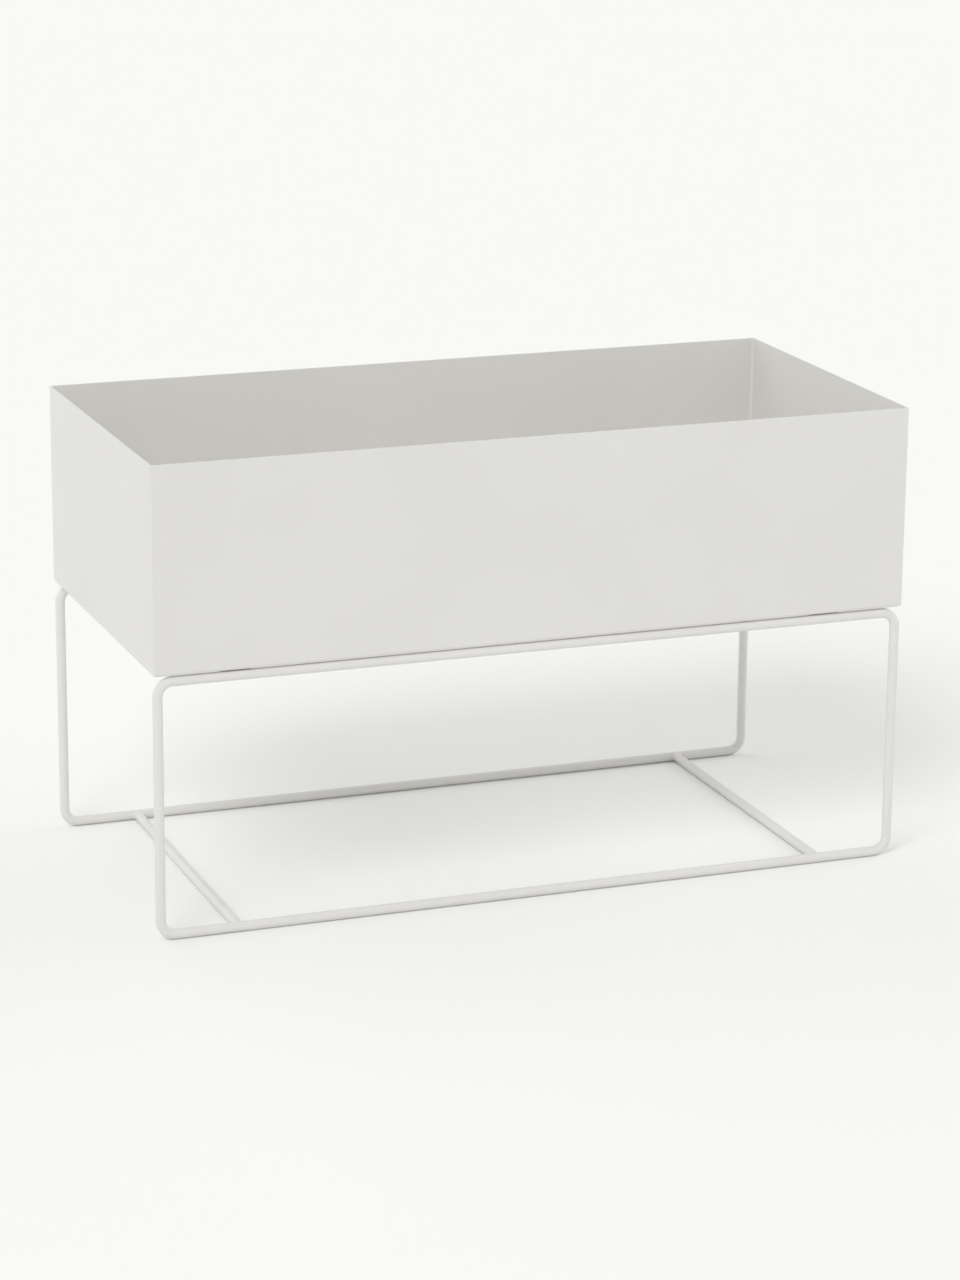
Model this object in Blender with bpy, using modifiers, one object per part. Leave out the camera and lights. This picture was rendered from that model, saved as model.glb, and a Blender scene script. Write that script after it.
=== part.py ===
"""Raised planter: an open sheet-steel tub that stands on a frame of round rod.

Lengths are in metres. +X runs along the planter, +Y to its back and +Z up. The origin is on
the floor, under the middle of the planter.
"""

import math

import bmesh
import bpy
from mathutils import Matrix, Vector

# Overall size
LENGTH = 0.800
DEPTH = 0.380
HEIGHT = 0.480
TUB_HEIGHT = 0.210

# Tub: one folded blank, open at the top, with its corners welded inside and ground outside
SHEET = 0.0015
CORNER_RADIUS = 0.001
CORNER_WELD_RADIUS = 0.003
FLOOR_BEND_RADIUS = 0.004
BEND_SEGMENTS = 6
RIM_ROUNDING = 0.0003

# Frame: solid round rod
ROD_RADIUS = 0.005
ROD_SIDES = 24
ROD_BEND_RADIUS = 0.015
ROD_BEND_STEPS = 10
RAIL_TO_TUB = 0.001
CROSSBAR_X = 0.315

# Mounting tabs: welded inside the top rails, with their tops just over the rods
TAB_WIDTH = 0.032
TAB_DEPTH = 0.027
TAB_THICKNESS = 0.002
TAB_CORNER = 0.005
TAB_EDGE = 0.0003
TAB_HOLE_RADIUS = 0.0045
TAB_HOLE_INSET = 0.013
TAB_X = CROSSBAR_X

# M6 fixings between the tub's floor and the tabs
STUD_RADIUS = 0.003
STUD_LENGTH = 0.0125
STUD_FLANGE_RADIUS = 0.00375
STUD_FLANGE_THICKNESS = 0.0008
STUD_CHAMFER = 0.0006
WASHER_RADIUS = 0.009
WASHER_HOLE_RADIUS = 0.0033
WASHER_THICKNESS = 0.0016
WASHER_ROUNDING = 0.0002
NUT_ACROSS_FLATS = 0.010
NUT_HEIGHT = 0.005
NUT_BORE_RADIUS = 0.0033
NUT_CHAMFER_DROP = 0.0009

# Gap between pieces that touch or are welded together
CLEARANCE = 0.0003
MERGE = 0.00002
FINE_SIDES = 32

# Heights and depths that follow from the sizes above
FLOOR_Z = HEIGHT - TUB_HEIGHT
TOP_RAIL_Z = FLOOR_Z - RAIL_TO_TUB - ROD_RADIUS
BOTTOM_RAIL_Z = ROD_RADIUS
LOOP_Y = DEPTH / 2 - ROD_RADIUS
TAB_TOP_Z = FLOOR_Z - CLEARANCE
WASHER_TOP_Z = TAB_TOP_Z - TAB_THICKNESS - CLEARANCE
NUT_TOP_Z = WASHER_TOP_Z - WASHER_THICKNESS - CLEARANCE


def empty_scene():
    """Remove every object that the file opened with."""
    for obj in list(bpy.data.objects):
        bpy.data.objects.remove(obj, do_unlink=True)


def add_collection(name):
    """Make a collection and link it to the scene."""
    collection = bpy.data.collections.new(name)
    bpy.context.scene.collection.children.link(collection)
    return collection


def add_material(name, color, roughness, metallic):
    """Make a Principled BSDF material."""
    material = bpy.data.materials.new(name)
    material.use_nodes = True
    shader = material.node_tree.nodes["Principled BSDF"]
    shader.inputs["Base Color"].default_value = (*color, 1.0)
    shader.inputs["Roughness"].default_value = roughness
    shader.inputs["Metallic"].default_value = metallic
    material.diffuse_color = (*color, 1.0)
    return material


def add_mesh_object(name, bm, collection, material=None):
    """Turn a bmesh into a smooth-shaded object, with its sharp edges kept sharp."""
    mesh = bpy.data.meshes.new(name)
    bm.to_mesh(mesh)
    bm.free()
    mesh.shade_smooth()
    mesh.set_sharp_from_angle(angle=math.radians(35))
    if material:
        mesh.materials.append(material)
    obj = bpy.data.objects.new(name, mesh)
    collection.objects.link(obj)
    return obj


def add_cutter(name, bm, collection):
    """Make an object that only serves as a Boolean operand."""
    cutter = add_mesh_object(name, bm, collection)
    cutter.hide_render = True
    cutter.display_type = "WIRE"
    return cutter


def add_boolean(obj, cutter, operation="DIFFERENCE"):
    """Cut an object with a cutter, or keep what they share."""
    boolean = obj.modifiers.new(cutter.name, "BOOLEAN")
    boolean.operation = operation
    boolean.solver = "EXACT"
    boolean.object = cutter


def rod_mesh(radius, length, sides, axis="Z"):
    """A straight round bar, centred on the origin, with a flat of its polygon facing down."""
    bm = bmesh.new()
    corner_radius = radius / math.cos(math.pi / sides)
    bmesh.ops.create_cone(
        bm, cap_ends=True, segments=sides, radius1=corner_radius, radius2=corner_radius, depth=length
    )
    half_step = Matrix.Rotation(math.pi / sides, 4, "Z")
    turn = {
        "X": Matrix.Rotation(math.pi / 2, 4, "Y"),
        "Y": Matrix.Rotation(math.pi / 2, 4, "X"),
        "Z": Matrix.Identity(4),
    }[axis]
    bmesh.ops.transform(bm, matrix=turn @ half_step, verts=bm.verts)
    return bm


def add_turned(name, profile, collection, material):
    """Turn a profile of (radius, height) points, listed from its top to its bottom, about Z."""
    bm = bmesh.new()
    points = [bm.verts.new((radius, 0.0, height)) for radius, height in profile]
    for first, second in zip(points, points[1:]):
        bm.edges.new((first, second))
    obj = add_mesh_object(name, bm, collection, material)
    screw = obj.modifiers.new("Turn", "SCREW")
    screw.steps = FINE_SIDES
    screw.render_steps = FINE_SIDES
    screw.use_merge_vertices = True
    screw.merge_threshold = MERGE
    screw.use_smooth_shade = False
    return obj


def box_mesh(length, depth, height, vertical_weight, floor_weight):
    """A box whose vertical and bottom edges carry weights for a Bevel modifier."""
    bm = bmesh.new()
    bmesh.ops.create_cube(bm, size=1.0)
    bmesh.ops.scale(bm, vec=(length, depth, height), verts=bm.verts)
    weight = bm.edges.layers.float.new("bevel_weight_edge")
    for edge in bm.edges:
        first, second = (vert.co for vert in edge.verts)
        if abs(first.z - second.z) > height / 2:
            edge[weight] = vertical_weight
        elif first.z < 0.0:
            edge[weight] = floor_weight
    return bm


def add_folds(obj, radius):
    """Round the weighted edges; the largest weight gets the whole radius."""
    folds = obj.modifiers.new("Folds", "BEVEL")
    folds.limit_method = "WEIGHT"
    folds.width = radius
    folds.segments = BEND_SEGMENTS


def add_tub(collection, cutters, material):
    """The planting box: sheet steel with sharp outer corners and a rounded weld in the inner ones."""
    corner_weight = CORNER_RADIUS / FLOOR_BEND_RADIUS
    outside = box_mesh(LENGTH, DEPTH, TUB_HEIGHT, corner_weight, 1.0)
    tub = add_mesh_object("tub", outside, collection, material)
    tub.location = (0.0, 0.0, FLOOR_Z + TUB_HEIGHT / 2)
    add_folds(tub, FLOOR_BEND_RADIUS)

    floor_weight = (FLOOR_BEND_RADIUS - SHEET) / CORNER_WELD_RADIUS
    inside = box_mesh(LENGTH - 2 * SHEET, DEPTH - 2 * SHEET, TUB_HEIGHT, 1.0, floor_weight)
    space = add_cutter("tub_space", inside, cutters)
    space.location = tub.location + Vector((0.0, 0.0, SHEET))
    add_folds(space, CORNER_WELD_RADIUS)
    add_boolean(tub, space)

    clean = tub.modifiers.new("Clean", "WELD")
    clean.merge_threshold = MERGE
    rim = tub.modifiers.new("Rim", "BEVEL")
    rim.limit_method = "ANGLE"
    rim.angle_limit = math.radians(60)
    rim.width = RIM_ROUNDING
    rim.segments = 2
    return tub


def loop_points():
    """The loop's centre line in the XZ plane, as straight runs joined by quarter arcs."""
    reach_x = LENGTH / 2 - ROD_RADIUS - ROD_BEND_RADIUS
    low_z = BOTTOM_RAIL_Z + ROD_BEND_RADIUS
    high_z = TOP_RAIL_Z - ROD_BEND_RADIUS
    centres = [(reach_x, high_z), (-reach_x, high_z), (-reach_x, low_z), (reach_x, low_z)]
    points = []
    for quarter, (centre_x, centre_z) in enumerate(centres):
        for step in range(ROD_BEND_STEPS + 1):
            angle = math.pi / 2 * (quarter + step / ROD_BEND_STEPS)
            across = ROD_BEND_RADIUS * math.cos(angle)
            up = ROD_BEND_RADIUS * math.sin(angle)
            points.append(Vector((centre_x + across, 0.0, centre_z + up)))
    return points


def add_leg_loop(name, y, collection, material):
    """One closed rod loop: two legs, a top rail and a bottom rail."""
    curve = bpy.data.curves.new(name, "CURVE")
    curve.dimensions = "3D"
    curve.twist_mode = "MINIMUM"
    curve.bevel_depth = ROD_RADIUS / math.cos(math.pi / ROD_SIDES)
    curve.bevel_resolution = ROD_SIDES // 2 - 2
    points = loop_points()
    spline = curve.splines.new("POLY")
    spline.points.add(len(points) - 1)
    for spline_point, position in zip(spline.points, points):
        spline_point.co = (*position, 1.0)
        spline_point.tilt = math.pi / ROD_SIDES
    spline.use_cyclic_u = True
    spline.use_smooth = True
    curve.materials.append(material)
    loop = bpy.data.objects.new(name, curve)
    loop.location = (0.0, y, 0.0)
    collection.objects.link(loop)
    return loop


def add_crossbar(name, x, saddles, collection, material):
    """A rod between the bottom rails, whose ends are cut to the rails' round sides."""
    bar = add_mesh_object(name, rod_mesh(ROD_RADIUS, 2 * LOOP_Y, ROD_SIDES, "Y"), collection, material)
    bar.location = (x, 0.0, BOTTOM_RAIL_Z)
    for saddle in saddles:
        add_boolean(bar, saddle)
    return bar


def add_mounting_tab(name, x, side, hole, collection, material):
    """A flat tab against the inner side of a top rail; side is -1 at the front and 1 at the rear."""
    edge_drop = TOP_RAIL_Z - (TAB_TOP_Z - TAB_THICKNESS)
    reach = ROD_RADIUS + CLEARANCE
    outer_y = LOOP_Y - math.sqrt(reach**2 - edge_drop**2)
    bm = bmesh.new()
    bmesh.ops.create_cube(bm, size=1.0)
    bmesh.ops.scale(bm, vec=(TAB_WIDTH, TAB_DEPTH, TAB_THICKNESS), verts=bm.verts)
    inner_corners = [
        edge
        for edge in bm.edges
        if all(vert.co.y * side < 0.0 for vert in edge.verts)
        and abs(edge.verts[0].co.z - edge.verts[1].co.z) > TAB_THICKNESS / 2
    ]
    bmesh.ops.bevel(bm, geom=inner_corners, offset=TAB_CORNER, segments=6, profile=0.5, affect="EDGES")
    outline = [edge for edge in bm.edges if abs(edge.verts[0].co.z - edge.verts[1].co.z) < TAB_THICKNESS / 2]
    bmesh.ops.bevel(bm, geom=outline, offset=TAB_EDGE, segments=1, profile=0.5, affect="EDGES")
    tab = add_mesh_object(name, bm, collection, material)
    tab.location = (x, side * (outer_y - TAB_DEPTH / 2), TAB_TOP_Z - TAB_THICKNESS / 2)
    hole.location = (x, side * (outer_y - TAB_HOLE_INSET), tab.location.z)
    add_boolean(tab, hole)
    return tab


def add_stud(name, x, y, collection, material):
    """A threaded stud with the small flange that it is welded to the floor by."""
    profile = [
        (0.0, 0.0),
        (STUD_FLANGE_RADIUS, 0.0),
        (STUD_FLANGE_RADIUS, -STUD_FLANGE_THICKNESS),
        (STUD_RADIUS, -STUD_FLANGE_THICKNESS),
        (STUD_RADIUS, STUD_CHAMFER - STUD_LENGTH),
        (STUD_RADIUS - STUD_CHAMFER, -STUD_LENGTH),
        (0.0, -STUD_LENGTH),
    ]
    stud = add_turned(name, profile, collection, material)
    stud.location = (x, y, TAB_TOP_Z)
    return stud


def add_washer(name, x, y, collection, material):
    """A plain washer with lightly rounded edges."""
    outer = WASHER_RADIUS
    edge = WASHER_ROUNDING
    profile = [
        (WASHER_HOLE_RADIUS, 0.0),
        (outer - edge, 0.0),
        (outer, -edge),
        (outer, edge - WASHER_THICKNESS),
        (outer - edge, -WASHER_THICKNESS),
        (WASHER_HOLE_RADIUS, -WASHER_THICKNESS),
        (WASHER_HOLE_RADIUS, 0.0),
    ]
    washer = add_turned(name, profile, collection, material)
    washer.location = (x, y, WASHER_TOP_Z)
    return washer


def add_nut(name, x, y, chamfer, bore, collection, material):
    """A hexagon nut: a six-sided prism with chamfered corners and a plain bore."""
    hexagon = rod_mesh(NUT_ACROSS_FLATS / 2, NUT_HEIGHT, 6)
    nut = add_mesh_object(name, hexagon, collection, material)
    nut.location = (x, y, NUT_TOP_Z - NUT_HEIGHT / 2)
    chamfer.location = (x, y, NUT_TOP_Z)
    bore.location = nut.location
    add_boolean(nut, chamfer, "INTERSECT")
    add_boolean(nut, bore)
    return nut


def add_nut_chamfer(name, collection):
    """A drum that trims the nut's corners where it meets them."""
    corner = NUT_ACROSS_FLATS / 2 / math.cos(math.pi / 6)
    flat = NUT_ACROSS_FLATS / 2
    reach = corner + CLEARANCE
    drop = NUT_CHAMFER_DROP * (reach - flat) / (corner - flat)
    profile = [
        (0.0, CLEARANCE),
        (flat - CLEARANCE, CLEARANCE),
        (reach, -drop),
        (reach, drop - NUT_HEIGHT),
        (flat - CLEARANCE, -NUT_HEIGHT - CLEARANCE),
        (0.0, -NUT_HEIGHT - CLEARANCE),
    ]
    drum = add_turned(name, profile, collection, None)
    drum.hide_render = True
    drum.display_type = "WIRE"
    return drum


def main():
    empty_scene()
    parts = add_collection("raised_planter")
    cutters = add_collection("cutters")
    coat = add_material("powder_coat", (0.70, 0.69, 0.66), 0.55, 0.0)
    zinc = add_material("zinc_plate", (0.62, 0.62, 0.60), 0.38, 1.0)

    add_tub(parts, cutters, coat)
    add_leg_loop("front_leg_loop", -LOOP_Y, parts, coat)
    add_leg_loop("rear_leg_loop", LOOP_Y, parts, coat)

    saddles = []
    for end, side in (("front", -1), ("rear", 1)):
        rail = rod_mesh(ROD_RADIUS + CLEARANCE, LENGTH, ROD_SIDES, "X")
        saddle = add_cutter(f"{end}_saddle", rail, cutters)
        saddle.location = (0.0, side * LOOP_Y, BOTTOM_RAIL_Z)
        saddles.append(saddle)
    add_crossbar("left_crossbar", -CROSSBAR_X, saddles, parts, coat)
    add_crossbar("right_crossbar", CROSSBAR_X, saddles, parts, coat)

    for end, side in (("front", -1), ("rear", 1)):
        for hand, x in (("left", -TAB_X), ("right", TAB_X)):
            corner = f"{end}_{hand}"
            hole_mesh = rod_mesh(TAB_HOLE_RADIUS, 4 * TAB_THICKNESS, FINE_SIDES)
            hole = add_cutter(f"tab_hole_{corner}", hole_mesh, cutters)
            add_mounting_tab(f"mounting_tab_{corner}", x, side, hole, parts, coat)
            y = hole.location.y
            add_stud(f"stud_{corner}", x, y, parts, zinc)
            add_washer(f"washer_{corner}", x, y, parts, zinc)
            bore_mesh = rod_mesh(NUT_BORE_RADIUS, 2 * NUT_HEIGHT, FINE_SIDES)
            bore = add_cutter(f"nut_bore_{corner}", bore_mesh, cutters)
            chamfer = add_nut_chamfer(f"nut_chamfer_{corner}", cutters)
            add_nut(f"nut_{corner}", x, y, chamfer, bore, parts, zinc)


main()
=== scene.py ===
"""Looks of the raised planter: powder coat, weld beads, screw threads, light and camera.

Lengths are in metres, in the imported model's frame: +X along the planter, +Y to its back, +Z up.
"""

import math

import bmesh
import bpy
from mathutils import Matrix, Vector


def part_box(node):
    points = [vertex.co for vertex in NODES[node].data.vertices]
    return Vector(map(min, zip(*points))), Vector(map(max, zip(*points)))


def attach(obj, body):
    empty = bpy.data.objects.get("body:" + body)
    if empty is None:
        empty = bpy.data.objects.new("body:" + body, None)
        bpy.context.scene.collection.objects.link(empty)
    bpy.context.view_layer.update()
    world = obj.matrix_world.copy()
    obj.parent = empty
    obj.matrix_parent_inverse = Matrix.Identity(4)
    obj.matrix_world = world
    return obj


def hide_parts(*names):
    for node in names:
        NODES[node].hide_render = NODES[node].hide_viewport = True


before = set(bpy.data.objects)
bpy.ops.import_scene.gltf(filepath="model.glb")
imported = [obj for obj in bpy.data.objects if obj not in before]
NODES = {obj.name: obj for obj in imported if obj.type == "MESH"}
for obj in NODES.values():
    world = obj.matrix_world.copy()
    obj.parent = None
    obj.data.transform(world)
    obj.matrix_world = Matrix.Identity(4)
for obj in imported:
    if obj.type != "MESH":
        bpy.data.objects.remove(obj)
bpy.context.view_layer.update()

ENDS = {"front": 1.0, "rear": -1.0}  # the way along Y from each end to the planter's middle
HANDS = ("left", "right")
SMOOTH_ANGLE = math.radians(32)
VERTEX_MERGE = 0.00001

# Fillet welds between the crossbars and the bottom rails
FILLET_LEG = 0.0019
FILLET_SIDE_RISE = 0.0007
FILLET_TOP_RISE = 0.0003
FILLET_DEPTH = 0.0012
FILLET_RIPPLE = 0.14
FILLET_RIPPLES = 34
FILLET_STEPS = 204
FILLET_ARC_STEPS = 8
FILLET_RIPPLE_LAG = 1.6  # how far a ripple trails behind in the middle of the bead, in radians
FILLET_LEAST_REACH = 0.15  # keeps the section off the rail's middle plane at the crossbar's sides
FILLET_TOP_LEAN = 2.0
FILLET_WRAP = 1.12  # how far the rail's toe goes round the rail
FILLET_WRAP_LIMIT = 0.985
GROUND_Z = 0.00005

# Weld beads under the mounting tabs
BEAD_LENGTH = 0.022
BEAD_RADIUS = 0.0013
BEAD_RIPPLE = 0.06
BEAD_RIPPLES = 18
BEAD_STEPS_PER_RIPPLE = 6
BEAD_TAPER_START = 0.06
BEAD_TAPER_SPAN = 0.88
BEAD_TAPER_POWER = 0.3
BEAD_SIDES = 14
TAB_THICKNESS = 0.002

# M6 coarse thread
THREAD_PITCH = 0.001
THREAD_DEPTH = 0.00061
THREAD_RADIUS = 0.003
THREAD_ROWS_PER_TURN = 8
THREAD_SIDES = 28
THREAD_ROOT_SHARE = 0.25
THREAD_FLANK_SHARE = 0.625
FLANGE_THICKNESS = 0.0008

# Camera
CAMERA_PLACE = (-1.3619, -3.6192, 1.3199)
CAMERA_YAW = math.radians(20.72)
CAMERA_PITCH = math.radians(-15.87)
CAMERA_ROLL = math.radians(0.48)
CAMERA_LENS = 108.24
CAMERA_SENSOR = 36.0

# Light: an even sky with a thin band of haze at the horizon
SKY_STRENGTH = 0.625
HAZE_STRENGTH = 0.315
HAZE_FALLOFF = 12.0
# name: strength, azimuth (0 is the front, 90 the right), elevation and angular size in degrees
LIGHTS = {
    "key": (1.02, -44, 43, 28),
    "right_fill": (0.88, 95, 20, 60),
    "back_fill": (0.50, -150, 30, 60),
}
FLOOR_COLOR = (0.925, 0.925, 0.912, 1.0)
FLOOR_SIZE = 400.0


# ---------------------------------------------------------------- materials


class Nodes:
    """A short way to add nodes to a new material and to link them."""

    def __init__(self, name):
        self.material = bpy.data.materials.new(name)
        self.material.use_nodes = True
        self.tree = self.material.node_tree
        self.shader = self.tree.nodes["Principled BSDF"]
        self.place = self.add("ShaderNodeTexCoord").outputs["Object"]

    def add(self, kind, **values):
        node = self.tree.nodes.new(kind)
        for name, value in values.items():
            setattr(node, name, value)
        return node

    def link(self, source, target):
        self.tree.links.new(source, target)

    def noise(self, scale, detail=2.0, roughness=0.5):
        """Noise in object space; scale is in cells per metre."""
        node = self.add("ShaderNodeTexNoise")
        node.inputs["Scale"].default_value = scale
        node.inputs["Detail"].default_value = detail
        node.inputs["Roughness"].default_value = roughness
        self.link(self.place, node.inputs["Vector"])
        return node.outputs["Fac"]

    def remap(self, value, low, high, start=0.3, end=0.7):
        """Map a value's usual range to low..high."""
        node = self.add("ShaderNodeMapRange")
        node.inputs["From Min"].default_value = start
        node.inputs["From Max"].default_value = end
        node.inputs["To Min"].default_value = low
        node.inputs["To Max"].default_value = high
        self.link(value, node.inputs["Value"])
        return node.outputs["Result"]

    def blend(self, factor, first, second):
        """Mix two colours."""
        node = self.add("ShaderNodeMix", data_type="RGBA")
        self.link(factor, node.inputs["Factor"])
        node.inputs["A"].default_value = (*first, 1.0)
        node.inputs["B"].default_value = (*second, 1.0)
        return node.outputs["Result"]

    def bump(self, height, strength, distance, under=None):
        """Bump from a height, over another bump's normal if one is given."""
        node = self.add("ShaderNodeBump")
        node.inputs["Strength"].default_value = strength
        node.inputs["Distance"].default_value = distance
        self.link(height, node.inputs["Height"])
        if under:
            self.link(under, node.inputs["Normal"])
        return node.outputs["Normal"]

    def set(self, **values):
        """Set the shader's own sockets."""
        for name, value in values.items():
            self.shader.inputs[name.replace("_", " ")].default_value = value


def powder_coat():
    """Matt off-white powder coat: a fine sandy grain over a faint orange peel."""
    coat = Nodes("powder_coat_matt")
    tone = coat.remap(coat.noise(7.0, 3.0), 0.0, 1.0, 0.35, 0.65)
    coat.link(coat.blend(tone, (0.733, 0.725, 0.699), (0.751, 0.743, 0.717)), coat.shader.inputs["Base Color"])
    coat.link(coat.remap(coat.noise(160.0, 2.0), 0.50, 0.60), coat.shader.inputs["Roughness"])
    peel = coat.bump(coat.noise(420.0, 1.0), 0.25, 0.00006)
    grain = coat.bump(coat.noise(1900.0, 2.0, 0.6), 0.35, 0.00004, peel)
    coat.link(grain, coat.shader.inputs["Normal"])
    coat.set(IOR=1.47)
    return coat.material


def weld_coat():
    """The same coat over a weld, where it lies a little smoother and glossier."""
    coat = Nodes("powder_coat_on_weld")
    tone = coat.remap(coat.noise(60.0, 2.0), 0.0, 1.0)
    coat.link(coat.blend(tone, (0.731, 0.723, 0.697), (0.749, 0.741, 0.715)), coat.shader.inputs["Base Color"])
    coat.link(coat.remap(coat.noise(300.0, 2.0), 0.46, 0.56), coat.shader.inputs["Roughness"])
    coat.link(coat.bump(coat.noise(1400.0, 2.0), 0.3, 0.00005), coat.shader.inputs["Normal"])
    coat.set(IOR=1.47)
    return coat.material


def zinc_plate():
    """Bright zinc plate with a cloudy passivation."""
    zinc = Nodes("zinc_plate_bright")
    tone = zinc.remap(zinc.noise(220.0, 3.0), 0.0, 1.0)
    zinc.link(zinc.blend(tone, (0.60, 0.61, 0.62), (0.71, 0.71, 0.69)), zinc.shader.inputs["Base Color"])
    zinc.link(zinc.remap(zinc.noise(600.0, 3.0), 0.24, 0.42), zinc.shader.inputs["Roughness"])
    zinc.link(zinc.bump(zinc.noise(1500.0, 2.0), 0.15, 0.00003), zinc.shader.inputs["Normal"])
    zinc.set(Metallic=1.0)
    return zinc.material


def floor_paint():
    """Plain pale studio floor."""
    paint = Nodes("studio_floor")
    paint.set(Base_Color=FLOOR_COLOR, Roughness=0.9, Specular_IOR_Level=0.0)
    return paint.material


# ---------------------------------------------------------------- mesh helpers


def middle(node):
    """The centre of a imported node's box."""
    low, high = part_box(node)
    return (low + high) / 2


def bridge_rings(rings, closed):
    """A closed surface through rings of points; an open run of rings gets two end caps."""
    bm = bmesh.new()
    rings = [[bm.verts.new(point) for point in ring] for ring in rings]
    pairs = list(zip(rings, rings[1:]))
    if closed:
        pairs.append((rings[-1], rings[0]))
    for first, second in pairs:
        for index in range(len(first)):
            after = (index + 1) % len(first)
            bm.faces.new((first[index], first[after], second[after], second[index]))
    if not closed:
        bm.faces.new(rings[0])
        bm.faces.new(rings[-1])
    bmesh.ops.recalc_face_normals(bm, faces=bm.faces)
    return bm


def add_piece(name, bm, material):
    """Turn a bmesh into a smooth piece that rides on the planter."""
    mesh = bpy.data.meshes.new(name)
    bm.to_mesh(mesh)
    bm.free()
    mesh.shade_smooth()
    mesh.set_sharp_from_angle(angle=SMOOTH_ANGLE)
    mesh.materials.append(material)
    piece = bpy.data.objects.new(name, mesh)
    bpy.context.scene.collection.objects.link(piece)
    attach(piece, "root")
    return piece


# ---------------------------------------------------------------- pieces


def finish_cad_nodes(coat, zinc):
    """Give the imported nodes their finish, and shade their round sides smooth and their flat sides flat."""
    for name, node in NODES.items():
        metal = name.startswith(("stud", "washer", "nut"))
        node.material_slots[0].material = zinc if metal else coat
        mesh = node.data
        if "custom_normal" in mesh.attributes:
            mesh.attributes.remove(mesh.attributes["custom_normal"])
        mesh.shade_smooth()
        weld = node.modifiers.new("Weld", "WELD")
        weld.merge_threshold = VERTEX_MERGE
        split = node.modifiers.new("Split", "EDGE_SPLIT")
        split.split_angle = SMOOTH_ANGLE
        shade = node.modifiers.new("Shade", "WEIGHTED_NORMAL")
        shade.mode = "FACE_AREA_WITH_ANGLE"
        shade.weight = 100


def fillet_section(angle, bar, rail_y, radius, inward):
    """A slice of a fillet weld, at an angle around the crossbar: its face from bar to rail, and its root."""
    across, up = math.cos(angle), math.sin(angle)
    reach = math.hypot(across, FILLET_LEAST_REACH)
    joint = Vector((bar.x + radius * across, rail_y + inward * radius * reach, bar.z + radius * up))
    bar_toe = joint + Vector((0.0, inward * FILLET_LEG, 0.0))
    lift = FILLET_WRAP * math.asin(FILLET_WRAP_LIMIT * up)
    rail_toe = Vector(
        (
            bar.x + (radius + FILLET_LEG) * across,
            rail_y + inward * radius * math.cos(lift),
            bar.z + radius * math.sin(lift),
        )
    )
    outward = Vector((across, inward * reach, FILLET_TOP_LEAN * up)).normalized()
    rise = FILLET_TOP_RISE + (FILLET_SIDE_RISE - FILLET_TOP_RISE) * abs(across)
    section = []
    for step in range(FILLET_ARC_STEPS + 1):
        share = step / FILLET_ARC_STEPS
        wave = math.sin(FILLET_RIPPLES * angle + FILLET_RIPPLE_LAG * math.sin(math.pi * share))
        crown = joint + outward * rise * (1.0 + FILLET_RIPPLE * wave)
        point = (1 - share) ** 2 * bar_toe + 2 * share * (1 - share) * crown + share**2 * rail_toe
        point.z = max(point.z, GROUND_Z)
        section.append(point)
    section.append(joint - Vector((across, inward, up)) * FILLET_DEPTH)
    return section


def add_crossbar_weld(end, hand, coat):
    """The fillet weld all round a crossbar's end, ground flush underneath."""
    low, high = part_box(f"{hand}_crossbar")
    bar = (low + high) / 2
    rail_y = middle(f"{end}_leg_loop").y
    radius = (high.z - low.z) / 2
    rings = [
        fillet_section(2 * math.pi * step / FILLET_STEPS, bar, rail_y, radius, ENDS[end])
        for step in range(FILLET_STEPS)
    ]
    add_piece(f"crossbar_weld_{end}_{hand}", bridge_rings(rings, closed=True), coat)


def add_tab_weld(end, hand, coat):
    """A rippled bead in the corner under a mounting tab's outer edge."""
    low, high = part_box(f"mounting_tab_{end}_{hand}")
    corner_y = low.y if ENDS[end] > 0 else high.y
    corner = Vector(((low.x + high.x) / 2, corner_y, high.z - TAB_THICKNESS))
    steps = BEAD_RIPPLES * BEAD_STEPS_PER_RIPPLE
    rings = []
    for step in range(steps + 1):
        share = step / steps
        taper = math.sin(math.pi * (BEAD_TAPER_START + BEAD_TAPER_SPAN * share)) ** BEAD_TAPER_POWER
        wave = math.sin(2 * math.pi * BEAD_RIPPLES * share)
        radius = BEAD_RADIUS * taper * (1.0 + BEAD_RIPPLE * wave)
        ring = []
        for side in range(BEAD_SIDES):
            turn = 2 * math.pi * side / BEAD_SIDES
            offset = Vector((BEAD_LENGTH * (share - 0.5), radius * math.cos(turn), radius * math.sin(turn)))
            ring.append(corner + offset)
        rings.append(ring)
    add_piece(f"tab_weld_{end}_{hand}", bridge_rings(rings, closed=False), coat)


def thread_radius(height, turn):
    """Radius of an ISO thread at a height and an angle: sloped flanks, a narrow crest and a wider root."""
    phase = (height / THREAD_PITCH - turn / (2 * math.pi)) % 1.0
    ridge = min(max((abs(2.0 * phase - 1.0) - THREAD_ROOT_SHARE) / THREAD_FLANK_SHARE, 0.0), 1.0)
    return THREAD_RADIUS - THREAD_DEPTH * (1.0 - ridge)


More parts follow.
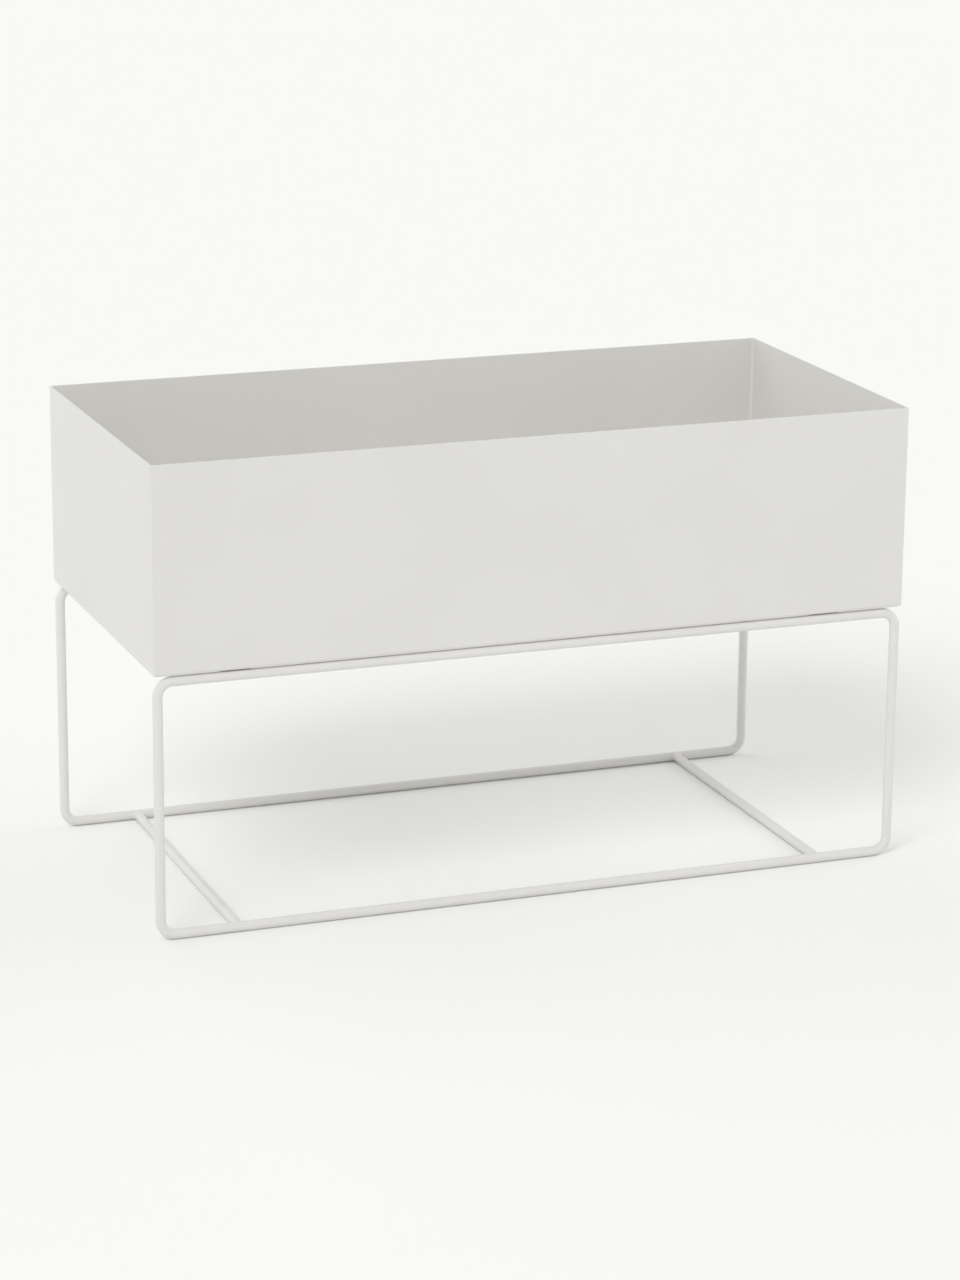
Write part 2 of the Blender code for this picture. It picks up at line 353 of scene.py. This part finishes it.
def add_threaded_stud(end, hand, zinc):
    """The stud with a real thread below its weld flange and a chamfered tip."""
    low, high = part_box(f"stud_{end}_{hand}")
    centre = (low + high) / 2
    flange_radius = (high.x - low.x) / 2
    flange_z = high.z - FLANGE_THICKNESS
    rows = round((flange_z - low.z) / THREAD_PITCH * THREAD_ROWS_PER_TURN)
    tip_radius = THREAD_RADIUS - THREAD_DEPTH
    turns = [2 * math.pi * side / THREAD_SIDES for side in range(THREAD_SIDES)]

    def ring(height, radii):
        return [
            Vector((centre.x + radius * math.cos(turn), centre.y + radius * math.sin(turn), height))
            for turn, radius in zip(turns, radii)
        ]

    rings = []
    for row in range(rows + 1):
        height = low.z + (flange_z - low.z) * row / rows
        chamfer = tip_radius + (height - low.z)
        rings.append(ring(height, [min(thread_radius(height, turn), chamfer) for turn in turns]))
    rings.append(ring(flange_z, [flange_radius] * THREAD_SIDES))
    rings.append(ring(high.z, [flange_radius] * THREAD_SIDES))
    name = f"threaded_stud_{end}_{hand}"
    stud = add_piece(name, bridge_rings(rings, closed=False), zinc)
    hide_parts(f"stud_{end}_{hand}")


# ---------------------------------------------------------------- stage


def add_camera():
    """A camera in front of the left corner, looking slightly down."""
    data = bpy.data.cameras.new("camera")
    data.lens = CAMERA_LENS
    data.sensor_width = CAMERA_SENSOR
    camera = bpy.data.objects.new("camera", data)
    turn = Matrix.Rotation(-CAMERA_YAW, 4, "Z") @ Matrix.Rotation(math.pi / 2 + CAMERA_PITCH, 4, "X")
    camera.matrix_world = Matrix.Translation(CAMERA_PLACE) @ turn @ Matrix.Rotation(CAMERA_ROLL, 4, "Z")
    bpy.context.scene.collection.objects.link(camera)
    bpy.context.scene.camera = camera


def add_sky():
    """A white studio all round, brighter in a band of haze at the horizon."""
    world = bpy.data.worlds.new("studio")
    world.use_nodes = True
    tree = world.node_tree
    direction = tree.nodes.new("ShaderNodeSeparateXYZ")
    tree.links.new(tree.nodes.new("ShaderNodeTexCoord").outputs["Generated"], direction.inputs["Vector"])

    def calculate(operation, *values):
        node = tree.nodes.new("ShaderNodeMath")
        node.operation = operation
        for socket, value in zip(node.inputs, values):
            if isinstance(value, float):
                socket.default_value = value
            else:
                tree.links.new(value, socket)
        return node.outputs["Value"]

    lowness = calculate("SUBTRACT", 1.0, calculate("ABSOLUTE", direction.outputs["Z"]))
    haze = calculate("POWER", lowness, HAZE_FALLOFF)
    sky = tree.nodes["Background"]
    sky.inputs["Color"].default_value = (1.0, 1.0, 1.0, 1.0)
    tree.links.new(calculate("MULTIPLY_ADD", haze, HAZE_STRENGTH, SKY_STRENGTH), sky.inputs["Strength"])
    bpy.context.scene.world = world


def add_light(name, strength, azimuth, elevation, size):
    """One large soft light, far away."""
    data = bpy.data.lights.new(name, "SUN")
    data.energy = strength
    data.angle = math.radians(size)
    turn, rise = math.radians(azimuth), math.radians(elevation)
    towards = Vector((math.cos(rise) * math.sin(turn), -math.cos(rise) * math.cos(turn), math.sin(rise)))
    light = bpy.data.objects.new(name, data)
    light.rotation_euler = towards.to_track_quat("Z", "Y").to_euler()
    bpy.context.scene.collection.objects.link(light)


def add_floor():
    """A wide pale floor."""
    bm = bmesh.new()
    bmesh.ops.create_grid(bm, x_segments=1, y_segments=1, size=FLOOR_SIZE / 2)
    mesh = bpy.data.meshes.new("floor")
    bm.to_mesh(mesh)
    bm.free()
    mesh.materials.append(floor_paint())
    floor = bpy.data.objects.new("floor", mesh)
    bpy.context.scene.collection.objects.link(floor)


coat_finish = powder_coat()
weld_finish = weld_coat()
zinc_finish = zinc_plate()
finish_cad_nodes(coat_finish, zinc_finish)
for end_name in ENDS:
    for hand_name in HANDS:
        add_crossbar_weld(end_name, hand_name, weld_finish)
        add_tab_weld(end_name, hand_name, weld_finish)
        add_threaded_stud(end_name, hand_name, zinc_finish)
add_camera()
add_sky()
for light_name, values in LIGHTS.items():
    add_light(light_name, *values)
bpy.context.scene.view_settings.view_transform = "Standard"
add_floor()
